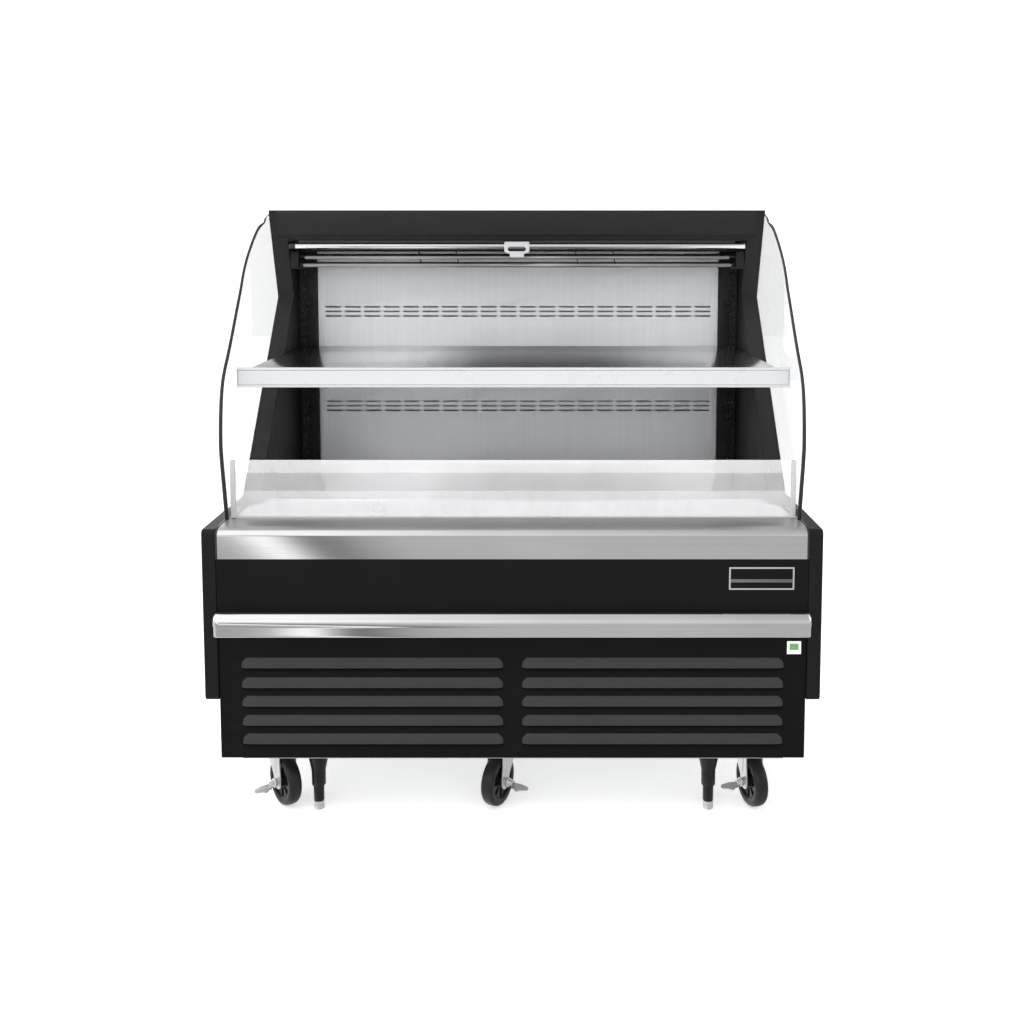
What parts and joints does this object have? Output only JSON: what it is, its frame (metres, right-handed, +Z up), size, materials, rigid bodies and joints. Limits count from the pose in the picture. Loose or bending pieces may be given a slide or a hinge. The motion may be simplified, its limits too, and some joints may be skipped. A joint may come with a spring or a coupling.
{
  "type": "refrigerated display case",
  "caption": "Open-front refrigerated merchandiser with a shelf, curved glass ends, roll-down night curtain, louvred machine compartment, swivel casters and levelling feet.",
  "frame": {"origin": "centre of the bounding box at floor level", "axes": "+X to the shopper's right, +Y from the front to the back, +Z up"},
  "size_m": [1.5, 0.9189, 1.515],
  "materials": {
    "black_panel": "black powder coat, fine texture",
    "stainless": "brushed stainless sheet",
    "bright_steel": "polished stainless tube",
    "foamed_body": "white coated skin over foam",
    "black_wall": "black coated skin over foam",
    "clear_glass": "clear tempered",
    "black_trim": "satin black edge trim",
    "white_plastic": "white moulded or extruded plastic",
    "white_metal": "white coated steel",
    "zinc_steel": "bright zinc plate",
    "galvanised": "galvanised sheet",
    "fin_aluminium": "bare fins",
    "black_plastic": "moulded black",
    "wheel_rubber": "black tread"
  },
  "bodies": {
    "cabinet": {"base_pan": "galvanised", "rear_cover": "black_panel", "insulated_body": "foamed_body", "end_wall_left": "black_wall", "end_wall_right": "black_wall", "end_glass_left": "clear_glass", "end_glass_right": "clear_glass", "glass_trim_left": "black_trim", "glass_trim_right": "black_trim", "end_panel_left": "black_trim", "end_panel_right": "black_trim", "header_cover": "black_panel", "roof_panel": "black_panel", "ceiling_panel": "stainless", "discharge_grille": "galvanised", "curtain_cassette": "black_panel", "curtain_catch": "white_plastic", "ledge": "stainless", "fascia": "black_panel", "bumper_rail": "stainless", "front_grille": "black_panel", "front_glass": "clear_glass", "back_duct_panel": "stainless", "shelf_standard_left": "black_panel", "shelf_standard_right": "black_panel", "shelf_bracket_left": "black_panel", "shelf_bracket_right": "black_panel", "deck_frame": "galvanised", "return_grille": "white_metal", "compressor": "black_panel", "condenser": "fin_aluminium", "condenser_motor": "black_plastic", "evaporator": "fin_aluminium", "control_box": "galvanised", "cord_inlet": "black_plastic", "leg_sleeve_left": "black_plastic", "leg_sleeve_right": "black_plastic"},
    "shelf": {"shelf": "stainless", "shelf_rail": "white_plastic"},
    "deck_pan": {"deck_pan": "stainless"},
    "curtain_roller": {"curtain_roller": "fin_aluminium"},
    "curtain_bar": {"curtain_bar": "bright_steel", "curtain_handle": "white_plastic"},
    "condenser_fan": {"condenser_fan": "fin_aluminium"},
    "evaporator_fan": {"evaporator_fan": "black_plastic"},
    "leg_foot_left": {"leg_foot_left": "black_plastic"},
    "leg_foot_right": {"leg_foot_right": "black_plastic"},
    "caster_fork_front_left": {"caster_fork_front_left": "zinc_steel"},
    "caster_wheel_front_left": {"caster_wheel_front_left": "wheel_rubber"},
    "brake_pedal_front_left": {"brake_pedal_front_left": "zinc_steel"},
    "caster_fork_front_mid": {"caster_fork_front_mid": "zinc_steel"},
    "caster_wheel_front_mid": {"caster_wheel_front_mid": "wheel_rubber"},
    "brake_pedal_front_mid": {"brake_pedal_front_mid": "zinc_steel"},
    "caster_fork_front_right": {"caster_fork_front_right": "zinc_steel"},
    "caster_wheel_front_right": {"caster_wheel_front_right": "wheel_rubber"},
    "brake_pedal_front_right": {"brake_pedal_front_right": "zinc_steel"},
    "caster_fork_rear_left": {"caster_fork_rear_left": "zinc_steel"},
    "caster_wheel_rear_left": {"caster_wheel_rear_left": "wheel_rubber"},
    "caster_fork_rear_right": {"caster_fork_rear_right": "zinc_steel"},
    "caster_wheel_rear_right": {"caster_wheel_rear_right": "wheel_rubber"}
  },
  "joints": [
    {"name": "shelf_lift_off", "type": "slide", "parent": "cabinet", "child": "shelf", "axis": [0, 0, 1], "range_m": [0, 0.05]},
    {"name": "deck_pan_lift_out", "type": "slide", "parent": "cabinet", "child": "deck_pan", "axis": [0, 0, 1], "range_m": [0, 0.2]},
    {"name": "night_curtain_pull", "type": "slide", "parent": "cabinet", "child": "curtain_bar", "axis": [0, -0.905, -0.4254], "range_m": [0, 0.5], "stiffness_N_per_m": 25, "springref_m": -1},
    {"name": "curtain_roller_turn", "type": "hinge", "parent": "cabinet", "child": "curtain_roller", "pos_m": [0, 0.1925, 1.466], "axis": [1, 0, 0], "range_deg": [0, 1305]},
    {"name": "condenser_fan_spin", "type": "hinge", "parent": "cabinet", "child": "condenser_fan", "pos_m": [0.265, -0.2395, 0.321], "axis": [0, 1, 0], "continuous": true},
    {"name": "evaporator_fan_spin", "type": "hinge", "parent": "cabinet", "child": "evaporator_fan", "pos_m": [0, -0.0895, 0.612], "axis": [0, 1, 0], "continuous": true},
    {"name": "leg_left_level", "type": "slide", "parent": "cabinet", "child": "leg_foot_left", "axis": [0, 0, -1], "range_m": [0, 0.025]},
    {"name": "leg_right_level", "type": "slide", "parent": "cabinet", "child": "leg_foot_right", "axis": [0, 0, -1], "range_m": [0, 0.025]},
    {"name": "swivel_front_left", "type": "hinge", "parent": "cabinet", "child": "caster_fork_front_left", "pos_m": [-0.597, -0.3145, 0.15], "axis": [0, 0, 1], "continuous": true},
    {"name": "roll_front_left", "type": "hinge", "parent": "caster_fork_front_left", "child": "caster_wheel_front_left", "pos_m": [-0.57938, -0.33626, 0.0635], "axis": [0.7771, 0.6293, 0], "continuous": true},
    {"name": "brake_front_left", "type": "hinge", "parent": "caster_fork_front_left", "child": "brake_pedal_front_left", "pos_m": [-0.57938, -0.33626, 0.0635], "axis": [-0.7771, -0.6293, 0], "range_deg": [0, 15]},
    {"name": "swivel_front_mid", "type": "hinge", "parent": "cabinet", "child": "caster_fork_front_mid", "pos_m": [-0.028, -0.3145, 0.15], "axis": [0, 0, 1], "continuous": true},
    {"name": "roll_front_mid", "type": "hinge", "parent": "caster_fork_front_mid", "child": "caster_wheel_front_mid", "pos_m": [-0.04071, -0.33945, 0.0635], "axis": [0.891, -0.454, 0], "continuous": true},
    {"name": "brake_front_mid", "type": "hinge", "parent": "caster_fork_front_mid", "child": "brake_pedal_front_mid", "pos_m": [-0.04071, -0.33945, 0.0635], "axis": [-0.891, 0.454, 0], "range_deg": [0, 15]},
    {"name": "swivel_front_right", "type": "hinge", "parent": "cabinet", "child": "caster_fork_front_right", "pos_m": [0.597, -0.3145, 0.15], "axis": [0, 0, 1], "continuous": true},
    {"name": "roll_front_right", "type": "hinge", "parent": "caster_fork_front_right", "child": "caster_wheel_front_right", "pos_m": [0.60472, -0.34142, 0.0635], "axis": [0.9613, 0.2756, 0], "continuous": true},
    {"name": "brake_front_right", "type": "hinge", "parent": "caster_fork_front_right", "child": "brake_pedal_front_right", "pos_m": [0.60472, -0.34142, 0.0635], "axis": [-0.9613, -0.2756, 0], "range_deg": [0, 15]},
    {"name": "swivel_rear_left", "type": "hinge", "parent": "cabinet", "child": "caster_fork_rear_left", "pos_m": [-0.597, 0.3605, 0.15], "axis": [0, 0, 1], "continuous": true},
    {"name": "roll_rear_left", "type": "hinge", "parent": "caster_fork_rear_left", "child": "caster_wheel_rear_left", "pos_m": [-0.597, 0.3885, 0.0625], "axis": [-1, 0, 0], "continuous": true},
    {"name": "swivel_rear_right", "type": "hinge", "parent": "cabinet", "child": "caster_fork_rear_right", "pos_m": [0.597, 0.3605, 0.15], "axis": [0, 0, 1], "continuous": true},
    {"name": "roll_rear_right", "type": "hinge", "parent": "caster_fork_rear_right", "child": "caster_wheel_rear_right", "pos_m": [0.597, 0.3885, 0.0625], "axis": [-1, 0, 0], "continuous": true}
  ],
  "couplings": [
    {"joint": "curtain_roller_turn", "follows": "night_curtain_pull", "rad_per_m": 45.45}
  ]
}
